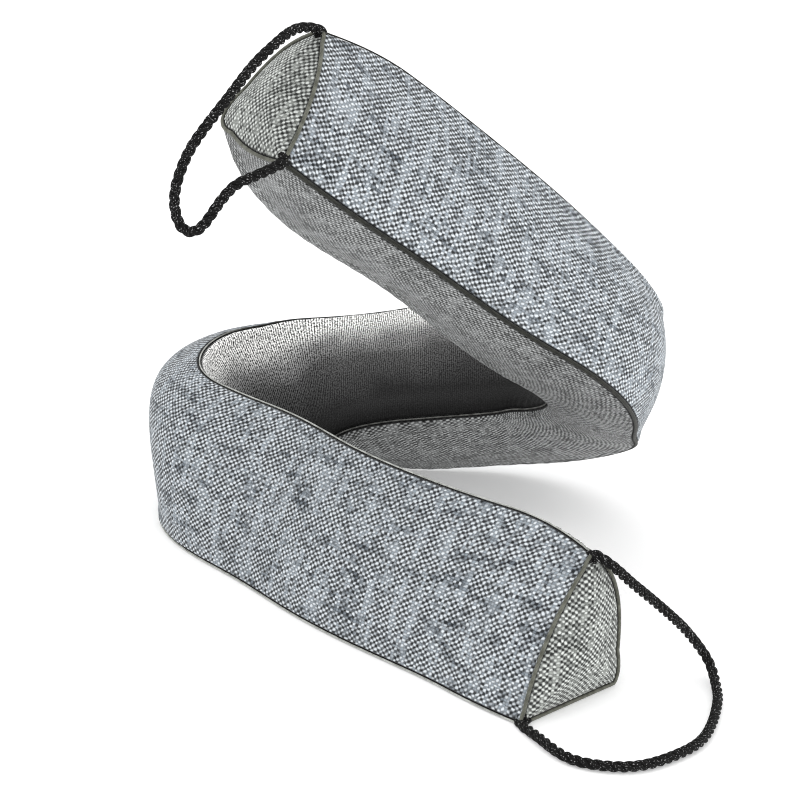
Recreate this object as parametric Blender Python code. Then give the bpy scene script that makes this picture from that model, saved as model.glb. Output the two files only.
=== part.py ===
# A long, stuffed draught excluder with a rounded triangular section and a rope loop
# at each end, folded into three runs. Metres, +Z up. The lowest run lies flat on
# the floor, the middle run twists over onto its front edge and the top run rises
# towards the viewer's left.
#
# Each section has three corners: front-base, front-back and base-back. The front
# cloth and the filling are one solid. The base and back cloths are thin sheets
# round it, and a piping cord lies in every seam.
import math

import bmesh
import bpy
import numpy as np
from mathutils import Vector

# The section at the middle of the excluder
FACE_WIDTH = 0.0997
BASE_WIDTH = 0.0857
HEIGHT = math.sqrt(FACE_WIDTH ** 2 - BASE_WIDTH ** 2 / 4)
FRONT_CROWN = 0.0085
BACK_CROWN = 0.0050
BASE_CROWN = 0.0055

# How far along each face the rounding of a corner reaches
FRONT_BASE_ROUND = 0.006
FRONT_BACK_ROUND = 0.008
BASE_BACK_ROUND = 0.018

# Cloth, seams and the end panels
GAP = 0.0005
CLOTH = 0.0013
PIPING_RADIUS = 0.0013
UNDER_CLOTH = CLOTH + GAP
SEAM_CLEARANCE = PIPING_RADIUS + GAP
END_DOME = 0.007
END_DRAW_IN = 0.11
END_REACH = 0.06

# Near an end the back swells more, and most towards the ridge
END_BACK_CROWN = 0.0115
END_BACK_LEAN = -0.35
END_BACK_REACH = 0.12

# The rings of an end's dome, as shares of its outline, and of the filling under it
DOME_SHARES = (1.0, 0.8, 0.45)
FILLING_SHARES = (0.96, 0.8, 0.45)

# Rope
ROPE_RADIUS = 0.0027
ROPE_GROOVE = 0.82
ROPE_STRANDS = 3
ROPE_LAY = 0.015
ROPE_STEPS_PER_LAY = 8
ROPE_END_GAP = 0.0009
ROPE_NIP = 0.5
ROPE_NIP_LENGTH = 0.007

# How finely the pieces are divided
RING_SPANS = ((0.00, 0.22, 9), (0.22, 0.46, 19), (0.46, 0.54, 4), (0.54, 0.72, 15), (0.72, 1.00, 10))
FRONT_STEPS = 8
BACK_STEPS = 7
BASE_STEPS = 6
END_RING_STEPS = (8, 7, 6)
PIPING_SIDES = 6
ROUND_STEPS = 5
FACE_STEPS = 24
WALK_STEPS = 100
ROUTE_STEPS = 600

# Finishes: linear colours, and an edge sharper than this stays sharp
FRONT_GREY = (0.55, 0.59, 0.62)
BASE_GREY = (0.35, 0.36, 0.36)
END_GREY = (0.45, 0.46, 0.44)
CHARCOAL = (0.05, 0.05, 0.055)
DARK_OLIVE = (0.05, 0.05, 0.04)
OLIVE = (0.10, 0.10, 0.08)
NEAR_BLACK = (0.03, 0.03, 0.03)
BLACK = (0.008, 0.008, 0.008)
CLOTH_ROUGHNESS = 0.95
PIPING_ROUGHNESS = 0.6
ROPE_ROUGHNESS = 0.8
SHARP_EDGE = math.radians(50)

# The body is shifted so that the origin is under the middle of its bounding box
ORIGIN = (0.0018, -0.0133)
FLOOR_RISE = 0.0013

# Where along the excluder, as a share of its length, each corner of the base reaches
# the floor
FRONT_BASE_LANDS = 0.45
BASE_BACK_LANDS = 0.60
LANDING = 0.06

# One row for each section along the excluder. The middle of the section is in
# millimetres, and ridge is the way its front-back corner points. front and back are
# the reach of the base's two corners, tall is the height of the section and crown
# the swell of its front, each against the middle of the excluder. shoulder moves
# that swell towards the ridge.
MIDDLE = slice(0, 3)
RIDGE = slice(3, 6)
REACHES = slice(6, 9)
SWELL = slice(9, 11)
STATIONS = (
    # x, y, z, ridge x, y, z, front, back, tall, crown, shoulder
    (-73, -76, 270, 0.41, 0.31, 0.86, 1.03, 0.97, 0.86, 0.9, 0.0),
    (-28, -56, 234, 0.33, 0.46, 0.82, 0.84, 1.10, 0.99, 1.0, 0.0),
    (15, -40, 202, 0.35, 0.46, 0.81, 0.91, 1.00, 0.97, 1.0, 0.0),
    (60, -30, 168, 0.43, 0.52, 0.74, 0.96, 1.00, 0.96, 1.0, 0.0),
    (102, -13, 135, 0.50, 0.58, 0.65, 0.92, 1.00, 0.88, 1.2, 0.0),
    (127, 24, 102, 0.36, 0.60, 0.71, 0.36, 0.90, 0.83, 1.1, 0.0),
    (115, 73, 85, 0.07, 0.65, 0.76, 0.90, 0.90, 0.93, 1.1, 0.0),
    (75, 105, 69, 0.04, 0.62, 0.79, 1.42, 0.95, 1.00, 1.0, 0.0),
    (11, 111, 56, 0.12, 0.59, 0.80, 1.20, 1.00, 0.98, 1.0, 0.0),
    (-58, 115, 39, 0.27, 0.41, 0.87, 0.80, 0.95, 0.95, 2.7, 1.3),
    (-104, 77, 37, -0.05, 0.26, 0.96, 0.71, 0.70, 1.00, 2.4, 1.3),
    (-103, 21, 32, -0.05, 0.10, 0.99, 0.68, 0.72, 0.99, 2.1, 0.3),
    (-60, -20, 30, -0.02, 0.01, 1.00, 0.86, 0.95, 0.99, 1.1, 0.2),
    (-25, -61, 30, 0.04, -0.04, 1.00, 0.84, 1.00, 0.98, 1.0, 0.0),
    (14, -98, 30, 0.12, -0.10, 0.99, 0.84, 1.00, 0.98, 1.0, 0.0),
    (57, -130, 30, 0.17, -0.13, 0.98, 0.92, 1.00, 0.98, 1.0, 0.0),
    (96, -166, 29, 0.10, -0.04, 0.99, 0.96, 0.87, 1.01, 0.9, 0.0),
)

# The upper end is cut a little askew: its front-base corner lies further in, and its
# base-back corner is drawn up towards the ridge
UPPER_END_SKEW = 0.083
SKEW_REACH = 0.06
UPPER_END_LIFT = 0.010
LIFT_REACH = 0.035

# How close the two sections lie that give the way along
NEARBY = 0.002

# The loops' routes, in millimetres: the upper one hangs from the end's front
# ridge and front-base corners, and the lower one drops to the floor and lies on it.
UPPER_LOOP = (
    (-61, -71, 311), (-71, -87, 306), (-80, -101, 298), (-88, -115, 288),
    (-95, -126, 279), (-103, -136, 268), (-108, -143, 258), (-111, -149, 246),
    (-110, -153, 236), (-106, -154, 229), (-99, -152, 229), (-92, -145, 238),
    (-85, -136, 246), (-76, -129, 250),
)
LOWER_LOOP = (
    (108, -168, 78), (118, -163, 68), (131, -152, 54), (142, -143, 42), (152, -134, 30),
    (161, -128, 18), (168, -129, 8), (170, -144, 3), (168, -163, 3), (159, -194, 3),
    (144, -214, 3), (124, -228, 3), (104, -230, 3), (88, -223, 3), (76, -206, 3),
)


def spline(rows):
    """A smooth natural curve through equally spaced rows, as a function of 0 to 1."""
    values = np.array(rows, float)
    last = len(values) - 1
    system = np.eye(last + 1)
    right = np.zeros_like(values)
    for i in range(1, last):
        system[i, i - 1:i + 2] = (1, 4, 1)
        right[i] = 6 * (values[i - 1] - 2 * values[i] + values[i + 1])
    bends = np.linalg.solve(system, right)

    def at(t):
        place = min(max(t, 0.0), 1.0) * last
        i = min(int(place), last - 1)
        b = place - i
        a = 1 - b
        curve = a * values[i] + b * values[i + 1]
        return curve + ((a ** 3 - a) * bends[i] + (b ** 3 - b) * bends[i + 1]) / 6

    return at


STATION = spline(STATIONS)


def unit(vector):
    return vector / np.linalg.norm(vector)


def frame_at(t):
    """The section's middle, the way along, the side towards the front, and the ridge."""
    row = STATION(t)
    ahead, behind = STATION(min(t + NEARBY, 1)), STATION(max(t - NEARBY, 0))
    along = unit(ahead[MIDDLE] - behind[MIDDLE])
    ridge = unit(row[RIDGE] - along * row[RIDGE].dot(along))
    middle = row[MIDDLE] / 1000 + np.array((-ORIGIN[0], -ORIGIN[1], FLOOR_RISE))
    return middle, along, np.cross(along, ridge), ridge


def fullness(t):
    """The section is drawn in a little towards both gathered ends."""
    near = min(t, 1 - t, END_REACH) / END_REACH
    return 1 - END_DRAW_IN * (1 - near) ** 2


def corners_at(t):
    """The three corners in the section's plane: front-base, front-back, base-back."""
    front, back, tall = STATION(t)[REACHES]
    lift = UPPER_END_LIFT * max(0.0, 1 - t / LIFT_REACH) ** 2
    size = fullness(t)
    low = -HEIGHT * tall / 3
    front_base = np.array((BASE_WIDTH * front / 2, low)) * size
    front_back = np.array((0, -2 * low)) * size
    base_back = np.array((-BASE_WIDTH * back / 2, low)) * size + np.array((0, lift))
    return front_base, front_back, base_back


def outward(start, end):
    """The outward normal of a side, when the section is walked with its inside on the left."""
    d = unit(end - start)
    return np.array((d[1], -d[0]))


def crowned(start, end, crown, share):
    """A point of a face: crown holds its swell, and how far that leans to the face's end."""
    swell, lean = crown
    rise = 4 * swell * share * (1 - share) * (1 + lean * (2 * share - 1))
    return start + (end - start) * share + outward(start, end) * rise


def round_point(corner, before_leg, after_leg, portion):
    """A point of the rounding, which passes through the corner half way round."""
    control = 2 * corner - (before_leg + after_leg) / 2
    a = 1 - portion
    return a * a * before_leg + 2 * a * portion * control + portion * portion * after_leg


def corner_legs(corners, crowns, rounds, side):
    """Where the rounding of the corner that starts a side leaves the two faces it joins."""
    start, end, before = corners[side], corners[(side + 1) % 3], corners[(side + 2) % 3]
    share_after = rounds[side] / np.linalg.norm(end - start)
    share_before = 1 - rounds[side] / np.linalg.norm(start - before)
    after_leg = crowned(start, end, crowns[side], share_after)
    before_leg = crowned(before, start, crowns[(side + 2) % 3], share_before)
    return before_leg, after_leg


def outline_at(t):
    """The section's outline, from the front-base seam round the front, back and base."""
    crown, shoulder = STATION(t)[SWELL]
    ending = max(0.0, 1 - min(t, 1 - t) / END_BACK_REACH) ** 2
    back = BACK_CROWN + (END_BACK_CROWN - BACK_CROWN) * ending
    crowns = ((FRONT_CROWN * crown, shoulder), (back, END_BACK_LEAN * ending), (BASE_CROWN, 0))
    rounds = (FRONT_BASE_ROUND, FRONT_BACK_ROUND, BASE_BACK_ROUND)
    corners = corners_at(t)
    line = []
    for side in range(3):
        start, end = corners[side], corners[(side + 1) % 3]
        length = np.linalg.norm(end - start)
        first = rounds[side] / length
        last = 1 - rounds[(side + 1) % 3] / length
        before_leg, after_leg = corner_legs(corners, crowns, rounds, side)
        line += [round_point(start, before_leg, after_leg, 0.5 + 0.5 * i / ROUND_STEPS)
                 for i in range(ROUND_STEPS)]
        line += [crowned(start, end, crowns[side], first + (last - first) * i / FACE_STEPS)
                 for i in range(FACE_STEPS)]
        before_leg, after_leg = corner_legs(corners, crowns, rounds, (side + 1) % 3)
        line += [round_point(end, before_leg, after_leg, 0.5 * i / ROUND_STEPS)
                 for i in range(ROUND_STEPS)]
    return np.array(line)


def inset(line, depth):
    """A closed outline moved into the section."""
    along = np.roll(line, -1, axis=0) - np.roll(line, 1, axis=0)
    along /= np.linalg.norm(along, axis=1)[:, None]
    inward = np.stack((-along[:, 1], along[:, 0]), axis=1)
    return line + inward * depth


def face_of(line, side):
    """One face of a closed outline, from its seam to the next."""
    count = 2 * ROUND_STEPS + FACE_STEPS
    return np.roll(line, -side * count, axis=0)[:count + 1]


def measure(line):
    return np.concatenate(((0,), np.cumsum(np.linalg.norm(np.diff(line, axis=0), axis=1))))


def divided(line, cut, steps):
    """The line without cut at both ends, divided evenly."""
    far = measure(line)
    wanted = np.linspace(cut, far[-1] - cut, steps + 1)
    return np.stack([np.interp(wanted, far, line[:, k]) for k in (0, 1)], axis=1)


def under(line, depth, cut, steps):
    """The part of a face under a cloth: moved in by depth, and clear of both seams by cut."""
    inner = inset(line, depth)
    faces = []
    for side in range(3):
        shown = face_of(line, side)
        far = measure(shown)
        wanted = np.linspace(cut, far[-1] - cut, steps[side] + 1)
        hidden = face_of(inner, side)
        faces.append(np.stack([np.interp(wanted, far, hidden[:, k]) for k in (0, 1)], axis=1))
    return faces


def ease(value):
    value = min(max(value, 0.0), 1.0)
    return value * value * (3 - 2 * value)


def settling(t):
    """How far the base's two corners are raised or lowered to lie on the floor."""
    middle, along, side, ridge = frame_at(t)
    front_base, _, base_back = corners_at(t)
    moves = []
    for corner, begins in ((front_base, FRONT_BASE_LANDS), (base_back, BASE_BACK_LANDS)):
        height = (middle + corner[0] * side + corner[1] * ridge)[2]
        wanted = PIPING_RADIUS - height
        landed = ease((t - begins) / LANDING)
        moves.append(landed * wanted + (1 - landed) * max(0.0, wanted))
    return front_base[0], base_back[0], moves


def placed(t, points, lowest, offset=0.0):
    """Points of the section's plane in the world, never lower than lowest."""
    middle, along, side, ridge = frame_at(t)
    reach = max(0.0, 1 - t / SKEW_REACH)
    shift = offset + points[:, 0] * UPPER_END_SKEW * reach ** 2
    world = middle + points[:, :1] * side + points[:, 1:2] * ridge + shift[:, None] * along
    front, back, (front_move, back_move) = settling(t)
    share = (points[:, 0] - back) / (front - back)
    world[:, 2] += back_move + (front_move - back_move) * np.clip(share, 0, 1)
    world[:, 2] = np.maximum(world[:, 2], lowest)
    return world


def ring_places():
    """Where the rings of the long pieces lie: close in the folds, and clear of the ends."""
    walk = np.array([frame_at(i / WALK_STEPS)[0] for i in range(WALK_STEPS + 1)])
    clear = SEAM_CLEARANCE / measure(walk)[-1]
    places = [start + (end - start) * i / rings for start, end, rings in RING_SPANS for i in range(rings)]
    return [clear + (1 - 2 * clear) * place for place in places + [1.0]]


def skin(name, rings, colour, roughness, closed=False, tips=None):
    """A solid through a row of rings of points, capped at its ends or closed on itself."""
    bm = bmesh.new()
    loops = [[bm.verts.new(Vector(p)) for p in ring] for ring in rings]
    pairs = list(zip(loops, loops[1:]))
    if closed:
        pairs.append((loops[-1], loops[0]))
    for low, high in pairs:
        count = len(low)
        for i in range(count):
            j = (i + 1) % count
            bm.faces.new((low[i], low[j], high[j], high[i]))
    if tips:
        for loop, tip in ((loops[0], tips[0]), (loops[-1], tips[1])):
            point = bm.verts.new(Vector(tip))
            for i in range(len(loop)):
                bm.faces.new((loop[i], loop[(i + 1) % len(loop)], point))
    elif not closed:
        bm.faces.new(loops[0])
        bm.faces.new(loops[-1])
    bmesh.ops.recalc_face_normals(bm, faces=bm.faces)
    bmesh.ops.triangulate(bm, faces=bm.faces, quad_method="SHORT_EDGE")
    if bm.calc_volume(signed=True) < 0:
        bmesh.ops.reverse_faces(bm, faces=bm.faces)
    mesh = bpy.data.meshes.new(name)
    bm.to_mesh(mesh)
    bm.free()
    mesh.shade_smooth()
    mesh.set_sharp_from_angle(angle=SHARP_EDGE)
    mesh.materials.append(finish(name, colour, roughness))
    thing = bpy.data.objects.new(name, mesh)
    bpy.context.scene.collection.objects.link(thing)
    return thing


def finish(name, colour, roughness):
    material = bpy.data.materials.new(name)
    material.use_nodes = True
    shader = material.node_tree.nodes["Principled BSDF"]
    shader.inputs["Base Color"].default_value = (*colour, 1)
    shader.inputs["Roughness"].default_value = roughness
    shader.inputs["Metallic"].default_value = 0
    return material


def body_outline(line, depth):
    """The stuffed body: the front cloth at full size, and the rest under the other cloths."""
    front = divided(face_of(line, 0), SEAM_CLEARANCE, FRONT_STEPS)
    tucked, behind, below = under(line, depth, SEAM_CLEARANCE, (FRONT_STEPS, BACK_STEPS, BASE_STEPS))
    return np.concatenate((front, tucked[-1:], behind, below, tucked[:1]))


def end_outline(t, depth):
    """The whole section's outline moved in by depth, for the end panel and its piping."""
    faces = under(outline_at(t), depth, 0.0, END_RING_STEPS)
    return np.concatenate([face[:-1] for face in faces])


def domed(t, outline, share, offset, outward_sign):
    """A smaller copy of an end's outline, raised into a shallow dome."""
    _, along, _, _ = frame_at(t)
    rim = placed(t, outline, PIPING_RADIUS + SEAM_CLEARANCE, offset)
    centre = rim.mean(axis=0)
    rise = END_DOME * (1 - share ** 2) * outward_sign
    return centre + (rim - centre) * share + rise * along


def front_body(places):
    """The sides of the body and a dome under each end panel."""
    sides = []
    for t in places:
        ring = placed(t, body_outline(outline_at(t), UNDER_CLOTH), UNDER_CLOTH)
        bare = placed(t, body_outline(outline_at(t), UNDER_CLOTH), 0.0)
        ring[1:FRONT_STEPS + 1] = bare[1:FRONT_STEPS + 1]
        sides.append(ring)
    domes = []
    for t, sign in ((0.0, -1), (1.0, 1)):
        flat = np.concatenate(under(outline_at(t), UNDER_CLOTH, SEAM_CLEARANCE,
                                    (FRONT_STEPS + 2, BACK_STEPS, BASE_STEPS)))
        back = -sign * UNDER_CLOTH
        domes.append([domed(t, flat, share, back, sign) for share in FILLING_SHARES + (0.0,)])
    tips = (domes[0][-1][0], domes[1][-1][0])
    rings = domes[0][-2::-1] + sides + domes[1][:-1]
    return skin("front_body", rings, FRONT_GREY, CLOTH_ROUGHNESS, tips=tips)


def sheet(name, places, side, steps, colour):
    """A cloth panel of even thickness along the whole excluder."""
    rings = []
    for t in places:
        line = outline_at(t)
        outer = under(line, 0.0, SEAM_CLEARANCE, (steps,) * 3)[side]
        inner = under(line, CLOTH, SEAM_CLEARANCE, (steps,) * 3)[side]
        rings.append(np.concatenate((placed(t, outer, 0.0), placed(t, inner, CLOTH)[::-1])))
    return skin(name, rings, colour, CLOTH_ROUGHNESS)


def end_panel(name, t, colour):
    """The triangular cloth that closes an end, slightly domed."""
    sign = -1 if t == 0 else 1
    outline = end_outline(t, SEAM_CLEARANCE)
    outer = [domed(t, outline, share, 0.0, sign) for share in DOME_SHARES[::-1]]
    inner = [domed(t, outline, share, -sign * CLOTH, sign) for share in DOME_SHARES]
    tips = (domed(t, outline, 0.0, 0.0, sign)[0], domed(t, outline, 0.0, -sign * CLOTH, sign)[0])
    return skin(name, outer + inner, colour, CLOTH_ROUGHNESS, tips=tips)


def round_ring(centre, across, up, radius, sides):
    angles = [2 * math.pi * i / sides for i in range(sides)]
    return [centre + radius * (math.cos(a) * across + math.sin(a) * up) for a in angles]


def piping_along(name, places, side, colour):
    """The piping in a long seam, which starts each face's line."""
    rings = []
    for t in places:
        seam = face_of(outline_at(t), side)[:1]
        centre = placed(t, seam, PIPING_RADIUS)[0]
        _, _, across, up = frame_at(t)
        rings.append(round_ring(centre, across, up, PIPING_RADIUS, PIPING_SIDES))
    return skin(name, rings, colour, PIPING_ROUGHNESS)


def piping_round(name, t, colour):
    """The piping round an end panel."""
    points = placed(t, end_outline(t, 0.0), PIPING_RADIUS)
    _, along, _, _ = frame_at(t)
    rings = []
    count = len(points)
    for i in range(count):
        way = unit(points[(i + 1) % count] - points[i - 1])
        across = unit(np.cross(way, along))
        rings.append(round_ring(points[i], across, np.cross(way, across), PIPING_RADIUS, PIPING_SIDES))
    return skin(name, rings, colour, PIPING_ROUGHNESS, closed=True)


def seam_corner(t, side):
    """A corner of an end's outline: 0 front-base, 1 front-back, 2 base-back."""
    return placed(t, face_of(outline_at(t), side)[:1], PIPING_RADIUS)[0]


def rope_route(t, route):
    """From just clear of the ridge corner, through the route, to the front-base corner."""
    shift = np.array((ORIGIN[0], ORIGIN[1], 0))
    points = [np.array(p) / 1000 - shift for p in route]
    start = seam_corner(t, 1)
    end = seam_corner(t, 0)
    clear = PIPING_RADIUS + ROPE_END_GAP
    first = start + unit(points[0] - start) * clear
    last = end + unit(points[-1] - end) * clear
    return [first] + points + [last]


def even_steps(curve, step):
    fine = np.array([curve(i / ROUTE_STEPS) for i in range(ROUTE_STEPS + 1)])
    far = measure(fine)
    count = int(round(far[-1] / step))
    wanted = np.linspace(0, far[-1], count + 1)
    return np.stack([np.interp(wanted, far, fine[:, k]) for k in range(3)], axis=1)


def rope(name, t, route, colour):
    """A laid rope: three strands twisted along a smooth route, pinched where it is sewn in."""
    step = ROPE_LAY / ROPE_STEPS_PER_LAY
    line = even_steps(spline(rope_route(t, route)), step)
    ways = np.gradient(line, axis=0)
    across = unit(np.cross(ways[0], (0, 0, 1)))
    rings = []
    points = 2 * ROPE_STRANDS
    for i, centre in enumerate(line):
        way = unit(ways[i])
        across = unit(across - way * across.dot(way))
        up = np.cross(way, across)
        from_end = min(i, len(line) - 1 - i) * step
        swell = 1 - ROPE_NIP * (1 - ease(from_end / ROPE_NIP_LENGTH))
        turn = 2 * math.pi * i / ROPE_STEPS_PER_LAY / ROPE_STRANDS
        ring = []
        for k in range(points):
            angle = turn + 2 * math.pi * k / points
            radius = ROPE_RADIUS * swell * (ROPE_GROOVE if k % 2 else 1)
            ring.append(centre + radius * (math.cos(angle) * across + math.sin(angle) * up))
        ring = np.array(ring)
        ring[:, 2] = np.maximum(ring[:, 2], 0.0)
        rings.append(ring)
    return skin(name, rings, colour, ROPE_ROUGHNESS)


def main():
    for thing in list(bpy.data.objects):
        bpy.data.objects.remove(thing, do_unlink=True)
    places = ring_places()
    front_body(places)
    sheet("back_panel", places, 1, BACK_STEPS, CHARCOAL)
    sheet("base_panel", places, 2, BASE_STEPS, BASE_GREY)
    piping_along("piping_front_base", places, 0, DARK_OLIVE)
    piping_along("piping_front_back", places, 1, DARK_OLIVE)
    piping_along("piping_base_back", places, 2, NEAR_BLACK)
    for level, t, route in (("upper", 0.0, UPPER_LOOP), ("lower", 1.0, LOWER_LOOP)):
        end_panel("end_panel_" + level, t, END_GREY)
        piping_round("end_piping_" + level, t, OLIVE)
        rope("rope_loop_" + level, t, route, BLACK)


main()
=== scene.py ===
# The looks of a stuffed draught excluder that is folded into a zigzag: woven cloth on
# its front, base and ends, a ribbed charcoal cloth on its back, piping in every seam
# and a black laid rope loop at each end. Metres, +Z up.
import math

import bmesh
import bpy
import numpy as np
from mathutils import Matrix, Vector, noise


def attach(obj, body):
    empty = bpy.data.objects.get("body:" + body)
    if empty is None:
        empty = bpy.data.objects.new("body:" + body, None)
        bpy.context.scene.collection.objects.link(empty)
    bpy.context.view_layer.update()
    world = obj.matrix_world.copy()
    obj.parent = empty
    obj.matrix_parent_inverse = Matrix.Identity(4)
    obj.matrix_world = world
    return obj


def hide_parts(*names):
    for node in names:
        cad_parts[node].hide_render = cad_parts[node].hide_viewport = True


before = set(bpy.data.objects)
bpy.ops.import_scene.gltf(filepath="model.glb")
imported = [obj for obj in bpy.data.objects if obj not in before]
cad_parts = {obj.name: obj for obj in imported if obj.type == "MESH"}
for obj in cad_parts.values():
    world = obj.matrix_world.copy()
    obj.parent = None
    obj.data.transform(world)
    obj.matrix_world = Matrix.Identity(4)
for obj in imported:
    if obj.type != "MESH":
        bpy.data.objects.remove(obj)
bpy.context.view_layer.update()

# The section at the middle of the excluder
FACE_WIDTH = 0.0997
BASE_WIDTH = 0.0857
HEIGHT = math.sqrt(FACE_WIDTH ** 2 - BASE_WIDTH ** 2 / 4)
FRONT_CROWN = 0.0085
BACK_CROWN = 0.0050
BASE_CROWN = 0.0055
FRONT_BASE_ROUND = 0.006
FRONT_BACK_ROUND = 0.008
BASE_BACK_ROUND = 0.018

# Cloth, seams and the end panels
CLOTH = 0.0013
PIPING_RADIUS = 0.0013
UNDER_CLOTH = CLOTH + 0.0005
SEAM_CLEARANCE = PIPING_RADIUS + 0.0005
TUCK = 0.0009
END_DOME = 0.007
END_DRAW_IN = 0.11
END_REACH = 0.06
END_BACK_CROWN = 0.0115
END_BACK_LEAN = -0.35
END_BACK_REACH = 0.12

# The excluder's place and how its lowest run settles on the floor
ORIGIN = (0.0018, -0.0133)
FLOOR_RISE = 0.0013
FRONT_BASE_LANDS = 0.45
BASE_BACK_LANDS = 0.60
LANDING = 0.06
UPPER_END_SKEW = 0.083
SKEW_REACH = 0.06
UPPER_END_LIFT = 0.010
LIFT_REACH = 0.035
NEARBY = 0.002

# One row for each section along the excluder. The middle of the section is in
# millimetres, and ridge is the way its front-back corner points. front and back are
# the reach of the base's two corners, tall is the height of the section and crown
# the swell of its front, each against the middle of the excluder. shoulder moves
# that swell towards the ridge.
MIDDLE = slice(0, 3)
RIDGE = slice(3, 6)
REACHES = slice(6, 9)
SWELL = slice(9, 11)
STATIONS = (
    # x, y, z, ridge x, y, z, front, back, tall, crown, shoulder
    (-73, -76, 270, 0.41, 0.31, 0.86, 1.03, 0.97, 0.86, 0.9, 0.0),
    (-28, -56, 234, 0.33, 0.46, 0.82, 0.84, 1.10, 0.99, 1.0, 0.0),
    (15, -40, 202, 0.35, 0.46, 0.81, 0.91, 1.00, 0.97, 1.0, 0.0),
    (60, -30, 168, 0.43, 0.52, 0.74, 0.96, 1.00, 0.96, 1.0, 0.0),
    (102, -13, 135, 0.50, 0.58, 0.65, 0.92, 1.00, 0.88, 1.2, 0.0),
    (127, 24, 102, 0.36, 0.60, 0.71, 0.36, 0.90, 0.83, 1.1, 0.0),
    (115, 73, 85, 0.07, 0.65, 0.76, 0.90, 0.90, 0.93, 1.1, 0.0),
    (75, 105, 69, 0.04, 0.62, 0.79, 1.42, 0.95, 1.00, 1.0, 0.0),
    (11, 111, 56, 0.12, 0.59, 0.80, 1.20, 1.00, 0.98, 1.0, 0.0),
    (-58, 115, 39, 0.27, 0.41, 0.87, 0.80, 0.95, 0.95, 2.7, 1.3),
    (-104, 77, 37, -0.05, 0.26, 0.96, 0.71, 0.70, 1.00, 2.4, 1.3),
    (-103, 21, 32, -0.05, 0.10, 0.99, 0.68, 0.72, 0.99, 2.1, 0.3),
    (-60, -20, 30, -0.02, 0.01, 1.00, 0.86, 0.95, 0.99, 1.1, 0.2),
    (-25, -61, 30, 0.04, -0.04, 1.00, 0.84, 1.00, 0.98, 1.0, 0.0),
    (14, -98, 30, 0.12, -0.10, 0.99, 0.84, 1.00, 0.98, 1.0, 0.0),
    (57, -130, 30, 0.17, -0.13, 0.98, 0.92, 1.00, 0.98, 1.0, 0.0),
    (96, -166, 29, 0.10, -0.04, 0.99, 0.96, 0.87, 1.01, 0.9, 0.0),
)

# The loops' routes, in millimetres
UPPER_LOOP = (
    (-61, -71, 311), (-71, -87, 306), (-80, -101, 298), (-88, -115, 288),
    (-95, -126, 279), (-103, -136, 268), (-108, -143, 258), (-111, -149, 246),
    (-110, -153, 236), (-106, -154, 229), (-99, -152, 229), (-92, -145, 238),
    (-85, -136, 246), (-76, -129, 250),
)
LOWER_LOOP = (
    (108, -168, 78), (118, -163, 68), (131, -152, 54), (142, -143, 42), (152, -134, 30),
    (161, -128, 18), (168, -129, 8), (170, -144, 3), (168, -163, 3), (159, -194, 3),
    (144, -214, 3), (124, -228, 3), (104, -230, 3), (88, -223, 3), (76, -206, 3),
)

# Rope
ROPE_RADIUS = 0.0027
STRAND_SHARE = 0.49
ROPE_STRANDS = 3
ROPE_LAY = 0.015
ROPE_STEPS_PER_LAY = 20
STRAND_SIDES = 10
ROPE_SEWN_IN = 0.005
ROPE_SWELL = 0.32
ROPE_SWELL_LENGTH = 0.014
ROPE_FUZZ = 0.03
ROPE_FUZZ_SIZE = 0.002

# How finely the pieces are divided
ROUND_STEPS = 8
FACE_STEPS = 48
ROWS = 460
HIDDEN_COLUMNS = 8
END_COLUMNS = 96
PIPING_SIDES = 12
END_PIPING_STEPS = 150
WALK_STEPS = 400
ROUTE_STEPS = 1200
GRID_MERGE = 1e-7
RING_MERGE = 1e-5

# The three sides in order round the section, and for each its columns and its seed
FRONT, BACK, BASE = 0, 1, 2
COLUMNS = (44, 34, 30)
SEEDS = (2.0, 5.0, 8.0)

# The radii of the pipings as they show, pressed into their seams. The front-base one
# is full up to a length along its seam and fine after it.
FULL_PIPING = 0.00100
FINE_PIPING = 0.00040
END_PIPING = 0.00095
FULL_UNTIL = 0.34
FULL_FALLS_OVER = 0.12

# The wrinkles of the pipings' covers and their broader lumps, as shares of the radius
WRINKLE = 0.035
WRINKLE_PITCH = 0.0042
WRINKLE_SLANT = 1.5
LUMP = 0.05
LUMP_SIZE = 0.012

# The cloth's own small unevenness
SOFT_SWELL = 0.0007
SOFT_SWELL_SIZE = 0.05
PUCKER = 0.00028
PUCKER_PITCH = 0.011
PUCKER_DRIFT = 3
PUCKER_REACH = 0.009
PUCKER_STARTS = 0.002

# Close to a seam the cloth turns in: the columns' distances from its edge, and the dip
SEAM_RIMS = (0.0006, 0.0013, 0.0024)
SEAM_DIP = 0.0007
SEAM_TURN = 0.0018

# An end cloth: the way from its middle to its rim, its rings as shares of that way,
# and the share from which it turns in
END_INNER = 0.030
END_RINGS = (1.0, 0.98, 0.96, 0.93, 0.9, 0.84, 0.76, 0.66, 0.54, 0.4, 0.26, 0.13, 0.0)
END_TURNS_FROM = 0.95

# The front cloth's lengths are counted from both ends and join in this share of it
JOIN_FROM = 0.42
JOIN_OVER = 0.16

# A cord has no seam beside it, so its map says that the nearest is this far off
FAR_FROM_SEAM = 0.01

# The crease beside a seam is in the shade between these distances from it
SHADE_FROM = 0.0005
SHADE_TO = 0.0016

# The woven cloth: the steps of its chequer along and round the excluder, drawn as
# coarse as they show, how far and over what length its yarns stray, and how each
# crossing's oval is turned, sized and rounded, in shares of a step
YARN_ALONG = 0.00185
YARN_ACROSS = 0.00160
STRAY = 0.0022
STRAY_SIZE = 0.005
OVAL_TURN = 30
OVAL = (0.74, 0.56, 1)
OVAL_CORE = 0.3
LEAST_FULL = 0.78

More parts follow.
